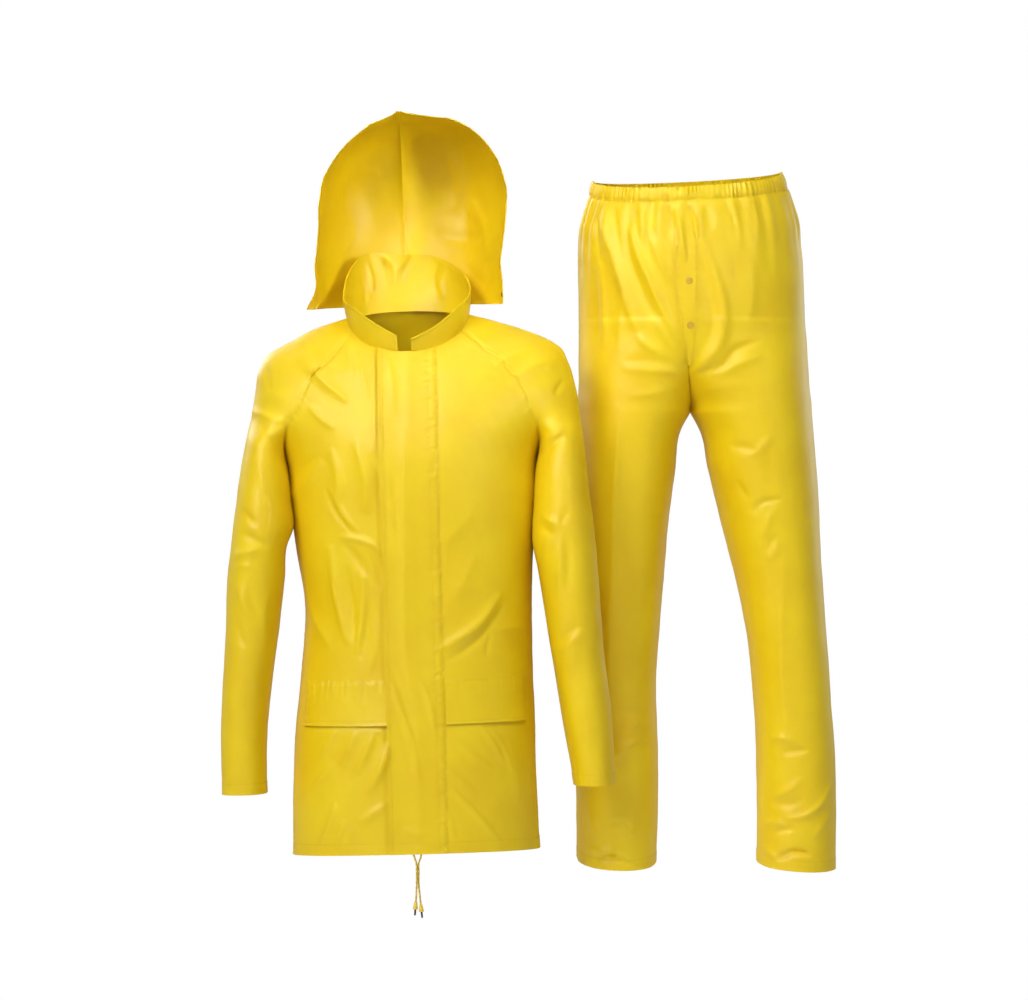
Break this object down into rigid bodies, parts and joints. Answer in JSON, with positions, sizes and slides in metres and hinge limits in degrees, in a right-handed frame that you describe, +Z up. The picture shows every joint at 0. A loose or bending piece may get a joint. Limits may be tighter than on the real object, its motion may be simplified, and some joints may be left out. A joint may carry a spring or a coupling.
{
  "type": "rain_suit",
  "caption": "Yellow rain suit filled out with no wearer: raglan jacket with stand collar and hood, storm flap, pocket flaps and hem drawcord, and pull-on trousers with a gathered waist and fly",
  "frame": {"origin": "The middle of the jacket's neck at the height of the shoulders, where a wearer or a hanger carries the jacket.", "axes": "+Z up, -Y the front of both garments, -X the wearer's right. The jacket leans 1.5 degrees in the front plane as pictured, and the trousers stand beside it at +X and 0.16 m behind it."},
  "size_m": [0.9308, 0.4384, 1.196],
  "materials": {
    "coated_cloth": "smooth shiny coating",
    "zip_tape": "matt",
    "cord": "braided",
    "cord_stop": "moulded",
    "cord_tip": "moulded",
    "snap": "moulded"
  },
  "bodies": {
    "root": {"jacket_front_left": "coated_cloth", "jacket_front_right": "coated_cloth", "jacket_back": "coated_cloth", "front_zip": "zip_tape", "storm_flap": "coated_cloth", "pocket_flap_left": "coated_cloth", "pocket_flap_right": "coated_cloth", "sleeve_front_left": "coated_cloth", "sleeve_back_left": "coated_cloth", "sleeve_front_right": "coated_cloth", "sleeve_back_right": "coated_cloth", "collar": "coated_cloth", "hood_left": "coated_cloth", "hood_right": "coated_cloth", "hem_cord_left": "cord", "hem_cord_right": "cord", "cord_bell_left": "cord_stop", "cord_bell_right": "cord_stop", "cord_tip_left": "cord_tip", "cord_tip_right": "cord_tip", "trouser_front_left": "coated_cloth", "trouser_front_right": "coated_cloth", "trouser_back_left": "coated_cloth", "trouser_back_right": "coated_cloth", "waistband": "coated_cloth", "fly_flap": "coated_cloth", "snap_upper": "snap", "snap_lower": "snap"}
  },
  "joints": []
}
